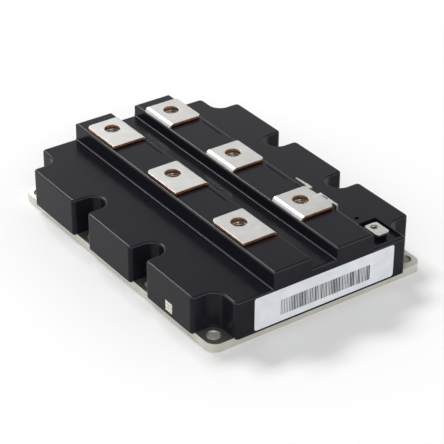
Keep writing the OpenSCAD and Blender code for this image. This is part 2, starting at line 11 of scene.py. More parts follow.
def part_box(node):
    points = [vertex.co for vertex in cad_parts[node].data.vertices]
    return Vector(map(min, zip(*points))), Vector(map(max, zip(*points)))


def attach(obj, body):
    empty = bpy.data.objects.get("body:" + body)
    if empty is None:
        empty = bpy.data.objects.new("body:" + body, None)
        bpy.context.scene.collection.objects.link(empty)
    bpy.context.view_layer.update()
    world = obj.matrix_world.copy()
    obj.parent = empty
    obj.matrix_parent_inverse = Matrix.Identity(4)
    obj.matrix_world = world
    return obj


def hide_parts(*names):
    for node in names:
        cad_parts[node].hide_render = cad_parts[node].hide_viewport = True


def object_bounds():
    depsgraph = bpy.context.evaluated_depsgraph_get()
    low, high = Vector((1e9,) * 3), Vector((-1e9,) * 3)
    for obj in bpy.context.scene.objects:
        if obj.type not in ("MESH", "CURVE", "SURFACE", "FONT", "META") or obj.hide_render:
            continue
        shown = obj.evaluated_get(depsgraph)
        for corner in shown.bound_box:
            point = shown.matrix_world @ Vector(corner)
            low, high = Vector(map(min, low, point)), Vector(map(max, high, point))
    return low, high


bl_info = {
    "name": "IGBT module dressing",
    "version": (1, 0, 0),
    "blender": (4, 5, 0),
    "location": "View3D > Sidebar > Module",
    "description": "Finishes the housing, terminals, plate and label of an IGBT module",
    "category": "Object",
}

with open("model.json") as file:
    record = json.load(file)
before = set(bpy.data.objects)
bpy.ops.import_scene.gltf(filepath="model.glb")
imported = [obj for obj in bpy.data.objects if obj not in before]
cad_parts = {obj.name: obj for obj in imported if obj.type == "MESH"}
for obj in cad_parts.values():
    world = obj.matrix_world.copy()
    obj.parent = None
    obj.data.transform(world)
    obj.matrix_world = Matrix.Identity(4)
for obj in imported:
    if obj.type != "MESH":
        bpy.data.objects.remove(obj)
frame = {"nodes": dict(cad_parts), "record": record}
CAD_BOX = [list(corner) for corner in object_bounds()]
BAR_NAMES = [f"{side}_bar_{k}" for side in ("collector", "emitter") for k in (1, 2, 3)]
LABEL_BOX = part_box("label")
NUT_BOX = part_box("main_nuts")

# Lengths in metres
TAB_RIM = 0.0016  # height of the cut rim under a tab's top
FOLD_REACH = 0.0125  # the tabs' folds lie this near to the middle line
THREAD_RADIUS = 0.0034
THREAD_DEPTH = 0.00032
FILM_INSET = 0.00003  # the film's face stands back by this, so that the ink stays inside the label
INK_THICKNESS = 0.00002
MARK_SKIN = 0.0002  # depth from the near side that takes the pale square
FLOOR_HALF = 3.0
FLOOR_DROP = 0.0002

MARK_CELLS = 14  # cells along one side of the pale square
FLOOR_GLOW = 0.15
HORIZON = 1.1  # strength of the surrounding light from the floor up to the haze
HAZE = (0.38, 0.70)  # heights, as a share of straight up, between which it falls to the ceiling's

# Lamps: offset from the module's middle, and size
KEY_LAMP = (Vector((-2.83, 0.0, 2.83)), (0.9, 1.8))
FRONT_LAMP = (Vector((1.50, -0.90, 1.00)), (0.9, 0.9))


def main_mounts():
    """Places of the six main screw holes, from the record."""
    places = []
    for mount in frame["record"]["mounts"]:
        if mount["name"].startswith(("collector_", "emitter_")):
            places.append(Vector(mount["pos_m"]))
    return places


# ---------- settings ----------


class PlasticSettings(bpy.types.PropertyGroup):
    """Finish of the moulded housing."""

    colour: bpy.props.FloatVectorProperty(
        name="Housing colour", description="Base colour of the moulding compound",
        subtype="COLOR", size=3, min=0.0, max=1.0, default=(0.0080, 0.0080, 0.0125))
    # Painted highlight: this paler colour goes on the rounded edges of the housing.
    edge_colour: bpy.props.FloatVectorProperty(
        name="Painted edge highlight", description="Colour painted on the rounds of the housing as their highlight",
        subtype="COLOR", size=3, min=0.0, max=1.0, default=(0.060, 0.060, 0.065))
    grain_size: bpy.props.FloatProperty(
        name="Grain size", description="Size of the fine moulded texture",
        subtype="DISTANCE", unit="LENGTH", min=0.0001, max=0.002, default=0.00045)
    grain_depth: bpy.props.FloatProperty(
        name="Grain depth", description="Strength of the moulded texture",
        min=0.0, max=1.0, default=0.02)
    mark_place: bpy.props.FloatVectorProperty(
        name="Side mark", description="Lower left corner of the pale code square on the side face, X and Z",
        subtype="XYZ", unit="LENGTH", size=2, default=(0.0543, 0.0063))
    mark_size: bpy.props.FloatProperty(
        name="Side mark size", description="Side of the pale code square",
        subtype="DISTANCE", unit="LENGTH", min=0.002, max=0.012, default=0.006)


class MetalSettings(bpy.types.PropertyGroup):
    """Finish of the plate, terminals and nuts."""

    plate: bpy.props.FloatVectorProperty(
        name="Plate colour", description="Colour of the nickel-plated base plate",
        subtype="COLOR", size=3, min=0.0, max=1.0, default=(0.74, 0.72, 0.65))
    plating: bpy.props.FloatVectorProperty(
        name="Terminal plating", description="Colour of the plated terminal faces",
        subtype="COLOR", size=3, min=0.0, max=1.0, default=(0.63, 0.63, 0.625))
    copper: bpy.props.FloatVectorProperty(
        name="Copper", description="Colour of bare copper at the cut edges and inside",
        subtype="COLOR", size=3, min=0.0, max=1.0, default=(0.80, 0.38, 0.21))
    edge_round: bpy.props.FloatProperty(
        name="Edge rounding", description="Rounding of the terminal sheet's stamped edges",
        subtype="DISTANCE", unit="LENGTH", min=0.00005, max=0.0004, default=0.00018)
    thread_pitch: bpy.props.FloatProperty(
        name="Thread pitch", description="Pitch of the thread in the main nuts",
        subtype="DISTANCE", unit="LENGTH", min=0.0005, max=0.002, default=0.00125)


class LabelSettings(bpy.types.PropertyGroup):
    """Film on the end face and its generic bar pattern."""

    colour: bpy.props.FloatVectorProperty(
        name="Film colour", description="Colour of the label film",
        subtype="COLOR", size=3, min=0.0, max=1.0, default=(0.82, 0.85, 0.89))
    ink: bpy.props.FloatVectorProperty(
        name="Ink colour", description="Colour of the printed bars",
        subtype="COLOR", size=3, min=0.0, max=1.0, default=(0.012, 0.012, 0.015))
    bars: bpy.props.IntProperty(
        name="Bars", description="Number of bars in the pattern", min=10, max=120, default=56)
    pattern_span: bpy.props.FloatVectorProperty(
        name="Pattern span", description="First and last place of the bars along Y",
        subtype="XYZ", unit="LENGTH", size=2, default=(-0.027, 0.030))
    pattern_rise: bpy.props.FloatVectorProperty(
        name="Pattern rise", description="Lower and upper end of the bars",
        subtype="XYZ", unit="LENGTH", size=2, default=(0.0090, 0.0180))
    seed: bpy.props.IntProperty(name="Seed", description="Seed of the bar widths", min=0, max=999, default=11)


class StageSettings(bpy.types.PropertyGroup):
    """Floor, lights and camera."""

    floor: bpy.props.FloatVectorProperty(
        name="Floor colour", description="Colour of the floor",
        subtype="COLOR", size=3, min=0.0, max=1.0, default=(0.85, 0.85, 0.85))
    fill: bpy.props.FloatProperty(
        name="Ceiling", description="Strength of the surrounding light overhead, against 1 at the horizon",
        min=0.0, max=2.0, default=0.25)
    key_power: bpy.props.FloatProperty(
        name="Key power", description="Power of the tall soft light over the -X end",
        subtype="POWER", unit="POWER", min=0.0, max=200.0, default=100.0)
    front_power: bpy.props.FloatProperty(
        name="Front power", description="Power of the soft light beside the camera",
        subtype="POWER", unit="POWER", min=0.0, max=200.0, default=8.0)
    azimuth: bpy.props.FloatProperty(
        name="Camera azimuth", description="Turn of the camera round the module",
        subtype="ANGLE", unit="ROTATION", default=math.radians(54.66))
    elevation: bpy.props.FloatProperty(
        name="Camera elevation", description="Height angle of the camera",
        subtype="ANGLE", unit="ROTATION", default=math.radians(31.49))
    roll: bpy.props.FloatProperty(
        name="Camera roll", description="Roll of the camera about its axis",
        subtype="ANGLE", unit="ROTATION", default=math.radians(0.35))
    distance: bpy.props.FloatProperty(
        name="Camera distance", description="Distance from the camera to the module's middle",
        subtype="DISTANCE", unit="LENGTH", min=0.3, max=5.0, default=0.95876)
    lens: bpy.props.FloatProperty(
        name="Lens", description="Focal length in millimetres", min=20.0, max=400.0, default=142.09)
    aim_shift: bpy.props.FloatVectorProperty(
        name="Aim shift", description="Camera's move to the right and up",
        subtype="XYZ", unit="LENGTH", size=2, default=(0.00277, -0.01052))


# ---------- shader helpers ----------


class NodeDesk:
    """Lays nodes in one tree and links them by socket name."""

    def __init__(self, tree):
        self.tree = tree

    def put(self, kind, settings=None, **inputs):
        node = self.tree.nodes.new(kind)
        for name, value in (settings or {}).items():
            setattr(node, name, value)
        for name, value in inputs.items():
            self.feed(node, name.replace("_", " "), value)
        return node

    def feed(self, node, name, value):
        socket = node.inputs[int(name)] if name.isdigit() else node.inputs[name]
        if isinstance(value, bpy.types.NodeSocket):
            self.tree.links.new(value, socket)
        else:
            socket.default_value = value

    def maths(self, operation, *values):
        node = self.put("ShaderNodeMath", {"operation": operation})
        for index, value in enumerate(values):
            self.feed(node, str(index), value)
        return node.outputs[0]

    def mix(self, factor, first, second):
        """Colour between two colours."""
        node = self.put("ShaderNodeMix", {"data_type": "RGBA"})
        for index, value in ((0, factor), (6, first), (7, second)):
            self.feed(node, str(index), value)
        return node.outputs[2]

    def blend(self, factor, low, high):
        """Value between two values."""
        node = self.put("ShaderNodeMapRange", Value=factor)
        self.feed(node, "3", low)
        self.feed(node, "4", high)
        return node.outputs[0]

    def stretch(self, vector, factors):
        node = self.put("ShaderNodeVectorMath", {"operation": "MULTIPLY"})
        self.feed(node, "0", vector)
        self.feed(node, "1", factors)
        return node.outputs[0]


def rgba(colour, alpha=1.0):
    return (colour[0], colour[1], colour[2], alpha)


def new_group(name, inputs, outputs):
    """Empty shader group with its sockets, its desk and its two end nodes."""
    tree = bpy.data.node_groups.new(name, "ShaderNodeTree")
    for socket, kind, default in inputs:
        made = tree.interface.new_socket(socket, in_out="INPUT", socket_type=kind)
        if default is not None:
            made.default_value = default
    for socket, kind in outputs:
        tree.interface.new_socket(socket, in_out="OUTPUT", socket_type=kind)
    desk = NodeDesk(tree)
    return tree, desk, desk.put("NodeGroupInput"), desk.put("NodeGroupOutput")


def grain_group():
    """Fine moulded or blasted texture: a height and a speckle mask."""
    found = bpy.data.node_groups.get("Fine grain")
    if found:
        return found
    tree, desk, source, result = new_group(
        "Fine grain",
        [("Vector", "NodeSocketVector", None), ("Size", "NodeSocketFloat", 0.0005)],
        [("Height", "NodeSocketFloat"), ("Speckle", "NodeSocketFloat")])
    scale = desk.maths("DIVIDE", 1.0, source.outputs["Size"])
    cells = desk.put("ShaderNodeTexVoronoi", {"feature": "SMOOTH_F1"},
                     Vector=source.outputs["Vector"], Scale=scale)
    cells.inputs["Smoothness"].default_value = 0.6
    fine = desk.put("ShaderNodeTexNoise", Vector=source.outputs["Vector"],
                    Scale=desk.maths("MULTIPLY", scale, 0.55), Detail=3.0, Roughness=0.6)
    height = desk.maths("ADD", desk.maths("MULTIPLY", cells.outputs["Distance"], 0.6),
                        desk.maths("MULTIPLY", fine.outputs["Fac"], 0.6))
    desk.feed(result, "Height", height)
    desk.feed(result, "Speckle", desk.maths("POWER", fine.outputs["Fac"], 2.0))
    return tree


def smudge_group():
    """Cloudy handling marks: a soft mask between 0 and 1."""
    found = bpy.data.node_groups.get("Handling marks")
    if found:
        return found
    tree, desk, source, result = new_group(
        "Handling marks",
        [("Vector", "NodeSocketVector", None), ("Size", "NodeSocketFloat", 0.02),
         ("Spread", "NodeSocketFloat", 0.5)],
        [("Mask", "NodeSocketFloat")])
    scale = desk.maths("DIVIDE", 1.0, source.outputs["Size"])
    broad = desk.put("ShaderNodeTexNoise", Vector=source.outputs["Vector"], Scale=scale, Detail=5.0,
                     Roughness=0.62, Distortion=0.6)
    shaped = desk.put("ShaderNodeMapRange", {"interpolation_type": "SMOOTHSTEP"}, Value=broad.outputs["Fac"])
    reach = desk.maths("MULTIPLY", source.outputs["Spread"], 0.3)
    desk.feed(shaped, "1", desk.maths("SUBTRACT", 0.5, reach))
    desk.feed(shaped, "2", desk.maths("ADD", 0.5, reach))
    desk.feed(result, "Mask", shaped.outputs[0])
    return tree


def streak_group():
    """Fine rolling or brushing lines along one direction."""
    found = bpy.data.node_groups.get("Rolling lines")
    if found:
        return found
    tree, desk, source, result = new_group(
        "Rolling lines",
        [("Vector", "NodeSocketVector", None), ("Pull", "NodeSocketVector", (60.0, 1500.0, 1500.0))],
        [("Mask", "NodeSocketFloat")])
    drawn = desk.stretch(source.outputs["Vector"], source.outputs["Pull"])
    lines = desk.put("ShaderNodeTexNoise", Vector=drawn, Scale=1.0, Detail=4.0, Roughness=0.7)
    desk.feed(result, "Mask", lines.outputs["Fac"])
    return tree


def scratch_group():
    """Sparse fine scratches in two directions: 1 on a scratch."""
    found = bpy.data.node_groups.get("Fine scratches")
    if found:
        return found
    tree, desk, source, result = new_group(
        "Fine scratches",
        [("Vector", "NodeSocketVector", None), ("Spacing", "NodeSocketFloat", 0.012)],
        [("Mask", "NodeSocketFloat")])
    scale = desk.maths("DIVIDE", 1.0, source.outputs["Spacing"])
    masks = []
    for turn, pull in ((0.5, (1.0, 0.09, 1.0)), (-1.05, (0.08, 1.0, 1.0))):
        turned = desk.put("ShaderNodeVectorRotate", {"rotation_type": "Z_AXIS"},
                          Vector=source.outputs["Vector"])
        turned.inputs["Angle"].default_value = turn
        lines = desk.put("ShaderNodeTexVoronoi", {"feature": "DISTANCE_TO_EDGE"},
                         Vector=desk.stretch(turned.outputs[0], pull), Scale=scale)
        masks.append(desk.maths("LESS_THAN", lines.outputs["Distance"], 0.006))
    desk.feed(result, "Mask", desk.maths("MAXIMUM", masks[0], masks[1]))
    return tree


def start_material(name):
    """New material with its desk, its shader and the object's own coordinates."""
    material = bpy.data.materials.new(name)
    material.use_nodes = True
    desk = NodeDesk(material.node_tree)
    shader = material.node_tree.nodes["Principled BSDF"]
    place = desk.put("ShaderNodeTexCoord").outputs["Object"]
    return material, desk, shader, place


def bump(desk, shader, height, strength, distance):
    node = desk.put("ShaderNodeBump", Height=height, Strength=strength, Distance=distance)
    desk.feed(shader, "Normal", node.outputs[0])


def use(desk, tree, **inputs):
    node = desk.put("ShaderNodeGroup", {"node_tree": tree})
    for name, value in inputs.items():
        desk.feed(node, name, value)
    return node


# ---------- materials ----------


def housing_material(plastic):
    material, desk, shader, place = start_material("moulded_housing")
    grain = use(desk, grain_group(), Vector=place, Size=plastic.grain_size)
    clouds = use(desk, smudge_group(), Vector=place, Size=0.045, Spread=1.0)
    dust = use(desk, smudge_group(), Vector=place, Size=0.006, Spread=0.5)
    base = rgba(plastic.colour)
    pale = rgba([channel * 1.5 + 0.002 for channel in plastic.colour])
    colour = desk.mix(desk.maths("MULTIPLY", clouds.outputs["Mask"], 0.35), base, pale)
    speck = desk.maths("MULTIPLY", desk.maths("GREATER_THAN", grain.outputs["Speckle"], 0.42),
                       desk.maths("MULTIPLY", dust.outputs["Mask"], 0.05))
    colour = desk.mix(speck, colour, (0.12, 0.12, 0.125, 1.0))
    # Painted highlight: a paler colour on the rounded edges stands in for their reflections, varied by the
    # cloudy tone.
    wear_and_sheen = rounded_edge(desk, clouds.outputs["Mask"])
    colour = desk.mix(wear_and_sheen, colour, rgba(plastic.edge_colour))
    mask, ink = side_mark(desk, place, plastic)
    desk.feed(shader, "Base Color", desk.mix(mask, colour, ink))
    rough = desk.blend(clouds.outputs["Mask"], 0.16, 0.22)
    rough = desk.maths("ADD", rough, desk.maths("MULTIPLY", grain.outputs["Speckle"], 0.08))
    desk.feed(shader, "Roughness", rough)
    shader.inputs["Specular IOR Level"].default_value = 0.12
    bump(desk, shader, grain.outputs["Height"], plastic.grain_depth, 0.0004)
    return material


def rounded_edge(desk, clouds):
    """Mask of the rounds between upright and level faces, where a paler colour is painted as their highlight,
    varied by the cloudy tone.

    The arch of the normal's rise peaks at 1 / 2.598, and the power narrows it to the rounds.
    """
    normal = desk.put("ShaderNodeTexCoord").outputs["Normal"]
    slope = desk.maths("ABSOLUTE", desk.put("ShaderNodeSeparateXYZ", Vector=normal).outputs[2])
    arch = desk.maths("MULTIPLY", slope, desk.maths("SUBTRACT", 1.0, desk.maths("MULTIPLY", slope, slope)))
    band = desk.maths("POWER", desk.maths("MULTIPLY", arch, 2.598), 3.0)
    return desk.maths("MULTIPLY", band, desk.blend(clouds, 0.55, 0.95))


def side_mark(desk, place, plastic):
    """Pale laser-marked square of random cells on the near side face: its mask and colour."""
    split = desk.put("ShaderNodeSeparateXYZ", Vector=place)
    left, low = plastic.mark_place
    size = plastic.mark_size

    def inside(value, start):
        first = desk.maths("GREATER_THAN", value, start)
        return desk.maths("MULTIPLY", first, desk.maths("LESS_THAN", value, start + size))

    mask = desk.maths("MULTIPLY", inside(split.outputs[0], left), inside(split.outputs[2], low))
    near = desk.maths("LESS_THAN", split.outputs[1], CAD_BOX[0][1] + MARK_SKIN)
    mask = desk.maths("MULTIPLY", mask, near)

    def step(value, start):
        cell = size / MARK_CELLS
        return desk.maths("FLOOR", desk.maths("DIVIDE", desk.maths("SUBTRACT", value, start), cell))

    cells = desk.put("ShaderNodeCombineXYZ", X=step(split.outputs[0], left), Y=step(split.outputs[2], low))
    chance = desk.put("ShaderNodeTexWhiteNoise", Vector=cells.outputs[0]).outputs["Value"]
    bright = desk.maths("GREATER_THAN", chance, 0.35)
    ink = desk.mix(bright, (0.42, 0.39, 0.33, 1.0), (0.86, 0.81, 0.70, 1.0))
    return mask, ink


def plate_material(metal):
    material, desk, shader, place = start_material("nickel_plate")
    lines = use(desk, streak_group(), Vector=place, Pull=(70.0, 1600.0, 1600.0))
    stains = use(desk, smudge_group(), Vector=place, Size=0.018, Spread=0.8)
    marks = use(desk, scratch_group(), Vector=place, Spacing=0.016)
    grain = use(desk, grain_group(), Vector=place, Size=0.0007)
    dull = rgba([channel * 0.82 for channel in metal.plate])
    colour = desk.mix(stains.outputs["Mask"], rgba(metal.plate), dull)
    colour = desk.mix(desk.maths("MULTIPLY", marks.outputs["Mask"], 0.3), colour, (0.8, 0.79, 0.76, 1.0))
    desk.feed(shader, "Base Color", colour)
    shader.inputs["Metallic"].default_value = 1.0
    rough = desk.blend(lines.outputs["Mask"], 0.34, 0.50)
    rough = desk.maths("ADD", rough, desk.maths("MULTIPLY", stains.outputs["Mask"], 0.06))
    desk.feed(shader, "Roughness", rough)
    height = desk.maths("ADD", lines.outputs["Mask"], desk.maths("MULTIPLY", grain.outputs["Height"], 0.5))
    bump(desk, shader, height, 0.10, 0.0003)
    return material


def plating_material(metal):
    material, desk, shader, place = start_material("terminal_plating")
    lines = use(desk, streak_group(), Vector=place, Pull=(1300.0, 90.0, 1300.0))
    stains = use(desk, smudge_group(), Vector=place, Size=0.007, Spread=0.7)
    marks = use(desk, scratch_group(), Vector=place, Spacing=0.007)
    tarnish = rgba([metal.plating[0] * 0.86, metal.plating[1] * 0.82, metal.plating[2] * 0.74])
    colour = desk.mix(desk.maths("MULTIPLY", stains.outputs["Mask"], 0.55), rgba(metal.plating), tarnish)
    desk.feed(shader, "Base Color", colour)
    shader.inputs["Metallic"].default_value = 1.0
    rough = desk.blend(lines.outputs["Mask"], 0.30, 0.44)
    rough = desk.maths("ADD", rough, desk.maths("MULTIPLY", marks.outputs["Mask"], 0.15))
    desk.feed(shader, "Roughness", rough)
    bump(desk, shader, lines.outputs["Mask"], 0.03, 0.0002)
    return material


def copper_material(metal):
    material, desk, shader, place = start_material("cut_copper")
    lines = use(desk, streak_group(), Vector=place, Pull=(900.0, 900.0, 5000.0))
    stains = use(desk, smudge_group(), Vector=place, Size=0.003, Spread=0.8)
    dark = rgba([channel * 0.5 for channel in metal.copper])
    desk.feed(shader, "Base Color", desk.mix(stains.outputs["Mask"], rgba(metal.copper), dark))
    shader.inputs["Metallic"].default_value = 1.0
    desk.feed(shader, "Roughness", desk.blend(lines.outputs["Mask"], 0.35, 0.6))
    bump(desk, shader, lines.outputs["Mask"], 0.2, 0.0002)
    return material


def steel_material(name, colour, low, high):
    material, desk, shader, place = start_material(name)
    stains = use(desk, smudge_group(), Vector=place, Size=0.004, Spread=0.8)
    grain = use(desk, grain_group(), Vector=place, Size=0.0005)
    wear_and_sheen = rgba([channel * 0.7 for channel in colour])
    desk.feed(shader, "Base Color", desk.mix(stains.outputs["Mask"], rgba(colour), wear_and_sheen))
    shader.inputs["Metallic"].default_value = 1.0
    desk.feed(shader, "Roughness", desk.blend(stains.outputs["Mask"], low, high))
    bump(desk, shader, grain.outputs["Height"], 0.08, 0.0003)
    return material


def plain_material(name, colour, low, high, grain_size, depth, metallic=0.0, alpha=1.0):
    """Non-metal or hidden finish with grain, clouding and a range of roughness."""
    material, desk, shader, place = start_material(name)
    clouds = use(desk, smudge_group(), Vector=place, Size=0.012, Spread=0.9)
    grain = use(desk, grain_group(), Vector=place, Size=grain_size)
    darker = rgba([channel * 0.84 for channel in colour])
    desk.feed(shader, "Base Color", desk.mix(clouds.outputs["Mask"], rgba(colour), darker))
    shader.inputs["Metallic"].default_value = metallic
    shader.inputs["Alpha"].default_value = alpha
    desk.feed(shader, "Roughness", desk.blend(clouds.outputs["Mask"], low, high))
    bump(desk, shader, grain.outputs["Height"], depth, 0.0003)
    return material


# ---------- mesh helpers ----------


def finish_piece(obj, slot_name, *nodes):
    """Rides on the only body and stands for the named solids, which it hides. The slot name is not used."""
    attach(obj, "root")
    if nodes:
        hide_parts(*nodes)


def dress(names, material):
    """Gives one material to whole solids."""
    for name in names:
        mesh = frame["nodes"][name].data
        mesh.materials.clear()
        mesh.materials.append(material)


def make_object(name, build, materials):
    mesh = bpy.data.meshes.new(name)
    shape = bmesh.new()
    build(shape)
    bmesh.ops.recalc_face_normals(shape, faces=shape.faces)
    shape.to_mesh(mesh)
    shape.free()
    for material in materials:
        mesh.materials.append(material)
    obj = bpy.data.objects.new(name, mesh)
    bpy.context.scene.collection.objects.link(obj)
    return obj


def bake_modifiers(obj):
    """Turns the evaluated object into a plain mesh."""
    bpy.context.view_layer.update()
    evaluated = obj.evaluated_get(bpy.context.evaluated_depsgraph_get())
    mesh = bpy.data.meshes.new_from_object(evaluated)
    obj.modifiers.clear()
    obj.data = mesh
    return obj


def rounded_copy(node, name, width, materials):
    """Copy of a solid with merged faces and its sharp edges rounded."""
    mesh = frame["nodes"][node].data.copy()
    mesh.name = name
    shape = bmesh.new()
    shape.from_mesh(mesh)
    bmesh.ops.remove_doubles(shape, verts=shape.verts, dist=2e-6)
    bmesh.ops.dissolve_limit(shape, angle_limit=math.radians(1.0), verts=shape.verts, edges=shape.edges)
    shape.to_mesh(mesh)
    shape.free()
    mesh.materials.clear()
    for material in materials:
        mesh.materials.append(material)
    mesh.shade_smooth()
    obj = bpy.data.objects.new(name, mesh)
    bpy.context.scene.collection.objects.link(obj)
    bevel = obj.modifiers.new("Stamped edge", "BEVEL")
    bevel.width = width
    bevel.segments = 2
    bevel.limit_method = "ANGLE"
    bevel.angle_limit = math.radians(50)
    weight = obj.modifiers.new("Flat faces", "WEIGHTED_NORMAL")
    weight.mode = "FACE_AREA"
    weight.weight = 50
    return bake_modifiers(obj)


# ---------- operators ----------


class MODULE_OT_plate(bpy.types.Operator):
    """Gives the base plate its nickel plating and the screws their steel"""

    bl_idname = "module.plate"
    bl_label = "Base plate"

    def execute(self, context):
        metal = context.scene.module_metal
        dress(["base_plate"], plate_material(metal))
        dress(["housing_screws", "board_screws"], steel_material("screw_steel", (0.5, 0.5, 0.52), 0.25, 0.4))
        return {"FINISHED"}


class MODULE_OT_housing(bpy.types.Operator):
    """Gives the moulded housing its dark grained finish with painted highlights on its rounded edges"""

    bl_idname = "module.housing"
    bl_label = "Housing"

    def execute(self, context):
        dress(["housing"], housing_material(context.scene.module_plastic))
        return {"FINISHED"}


class MODULE_OT_terminals(bpy.types.Operator):
    """Rounds the stamped edges of the six main terminals and shows copper at their cut edges"""

    bl_idname = "module.terminals"
    bl_label = "Main terminals"

    def execute(self, context):
        metal = context.scene.module_metal
        plating = plating_material(metal)
        copper = copper_material(metal)
        for name in BAR_NAMES:
            sheet = rounded_copy(name, f"{name}_sheet", metal.edge_round, [plating, copper])
            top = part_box(name)[1][2]
            for face in sheet.data.polygons:
                cut = abs(face.normal.x) > 0.45
                rim = face.center.z > top - TAB_RIM and abs(face.normal.z) < 0.3
                fold = abs(face.center.y) < FOLD_REACH
                face.material_index = 1 if cut or (rim and not fold) else 0
            finish_piece(sheet, "tin_plate", name)
        for name in ("gate_terminal", "sense_terminal"):
            sheet = rounded_copy(name, f"{name}_sheet", metal.edge_round * 0.7, [plating, copper])
            finish_piece(sheet, "tin_plate", name)
        dress(["sense_strip", "gate_pins"], plating)
        return {"FINISHED"}


class MODULE_OT_nuts(bpy.types.Operator):
    """Finishes the nuts and winds a thread into each main nut"""

    bl_idname = "module.nuts"
    bl_label = "Nuts"

    def execute(self, context):
        metal = context.scene.module_metal
        steel = steel_material("nut_steel", (0.86, 0.84, 0.78), 0.28, 0.42)
        dress(["main_nuts", "control_nuts"], steel)
        places = bpy.data.meshes.new("thread_places")
        places.from_pydata([Vector((p.x, p.y, NUT_BOX[0][2])) for p in main_mounts()], [], [])
        threads = bpy.data.objects.new("nut_threads", places)
        context.scene.collection.objects.link(threads)
        height = NUT_BOX[1][2] - NUT_BOX[0][2]
        grow(threads, thread_tree(steel), {"Pitch": metal.thread_pitch, "Height": height,
                                           "Radius": THREAD_RADIUS, "Depth": THREAD_DEPTH})
        finish_piece(threads, "nut_steel")
        return {"FINISHED"}


class MODULE_OT_label(bpy.types.Operator):
    """Lays the label film on the end face with a generic bar pattern and no words"""

    bl_idname = "module.label"
    bl_label = "Label"

    def execute(self, context):
        label = context.scene.module_label
        front = LABEL_BOX[1][0]
        film = plain_material("label_film", label.colour, 0.38, 0.5, 0.0009, 0.03)
        sheet = rounded_copy("label", "label_sheet", FILM_INSET, [film])
        for vertex in sheet.data.vertices:
            if vertex.co.x > front - FILM_INSET / 3:
                vertex.co.x = front - FILM_INSET
        finish_piece(sheet, "label_film", "label")
        ink = plain_material("label_ink", label.ink, 0.4, 0.55, 0.0005, 0.03)
        start = bpy.data.meshes.new("bar_start")
        start.from_pydata([(front - INK_THICKNESS, label.pattern_span[0], label.pattern_rise[0])], [], [])
        bars = bpy.data.objects.new("code_bars", start)
        context.scene.collection.objects.link(bars)
        grow(bars, bar_tree(ink), {
            "Bars": label.bars, "Length": label.pattern_span[1] - label.pattern_span[0],
            "Rise": label.pattern_rise[1] - label.pattern_rise[0], "Thickness": INK_THICKNESS,
            "Seed": label.seed})
        finish_piece(bars, "label_film")
        return {"FINISHED"}


class MODULE_OT_inside(bpy.types.Operator):
    """Finishes the substrates, chips, bonds, gel and gate board under the housing"""

    bl_idname = "module.inside"
    bl_label = "Inner parts"

    def execute(self, context):
        metal = context.scene.module_metal
        dress(["solder_copper", "circuit_copper"],
              plain_material("substrate_copper", metal.copper, 0.3, 0.45, 0.0004, 0.05, metallic=1.0))
        dress(["ceramic_substrates"], plain_material("ceramic", (0.8, 0.8, 0.76), 0.5, 0.65, 0.0003, 0.05))
        dress(["igbt_chips", "diode_chips"],
              plain_material("chip_metal", (0.35, 0.37, 0.42), 0.15, 0.25, 0.0006, 0.03, metallic=1.0))
        dress(["bond_ribbons"],
              plain_material("bond_ribbon", (0.8, 0.81, 0.83), 0.25, 0.35, 0.0003, 0.04, metallic=1.0))
        dress(["silicone_gel"], plain_material("gel", (0.7, 0.8, 0.85), 0.05, 0.12, 0.004, 0.02, alpha=0.5))
        dress(["seal_bead"], plain_material("seal", (0.6, 0.6, 0.57), 0.4, 0.55, 0.001, 0.1))
        dress(["gate_board"], plain_material("board", (0.02, 0.14, 0.06), 0.25, 0.4, 0.0006, 0.05))
        dress(["gate_resistors"], plain_material("resistor", (0.02, 0.02, 0.022), 0.3, 0.45, 0.0004, 0.05))
        return {"FINISHED"}


class MODULE_OT_stage(bpy.types.Operator):
    """Sets the pale floor, the soft studio light and the camera"""

    bl_idname = "module.stage"
    bl_label = "Stage"

    def execute(self, context):
        stage = context.scene.module_stage
        make_floor(stage)
        make_world(stage)
        middle = Vector((0.0, 0.0, (CAD_BOX[0][2] + CAD_BOX[1][2]) / 2))
        soft_light("front", FRONT_LAMP, middle, stage.front_power)
        soft_light("key", KEY_LAMP, middle, stage.key_power)
        make_camera(stage, middle)
        return {"FINISHED"}


# ---------- geometry nodes ----------


def grow(obj, tree, values):
    """Runs a geometry tree on an object with the given inputs and keeps the plain mesh."""
    modifier = obj.modifiers.new(tree.name, "NODES")
    modifier.node_group = tree
    for item in tree.interface.items_tree:
        if item.item_type == "SOCKET" and item.in_out == "INPUT" and item.name in values:
            modifier[item.identifier] = values[item.name]
    return bake_modifiers(obj)


def new_geometry_tree(name, inputs):
    tree = bpy.data.node_groups.new(name, "GeometryNodeTree")
    tree.interface.new_socket("Geometry", in_out="INPUT", socket_type="NodeSocketGeometry")
    for socket, kind in inputs:
        tree.interface.new_socket(socket, in_out="INPUT", socket_type=kind)
    tree.interface.new_socket("Geometry", in_out="OUTPUT", socket_type="NodeSocketGeometry")
    desk = NodeDesk(tree)
    return tree, desk, desk.put("NodeGroupInput"), desk.put("NodeGroupOutput")


def close_tree(desk, result, geometry, material):
    real = desk.put("GeometryNodeRealizeInstances", Geometry=geometry)
    painted = desk.put("GeometryNodeSetMaterial", Geometry=real.outputs[0])
    painted.inputs["Material"].default_value = material
    desk.feed(result, "Geometry", painted.outputs[0])


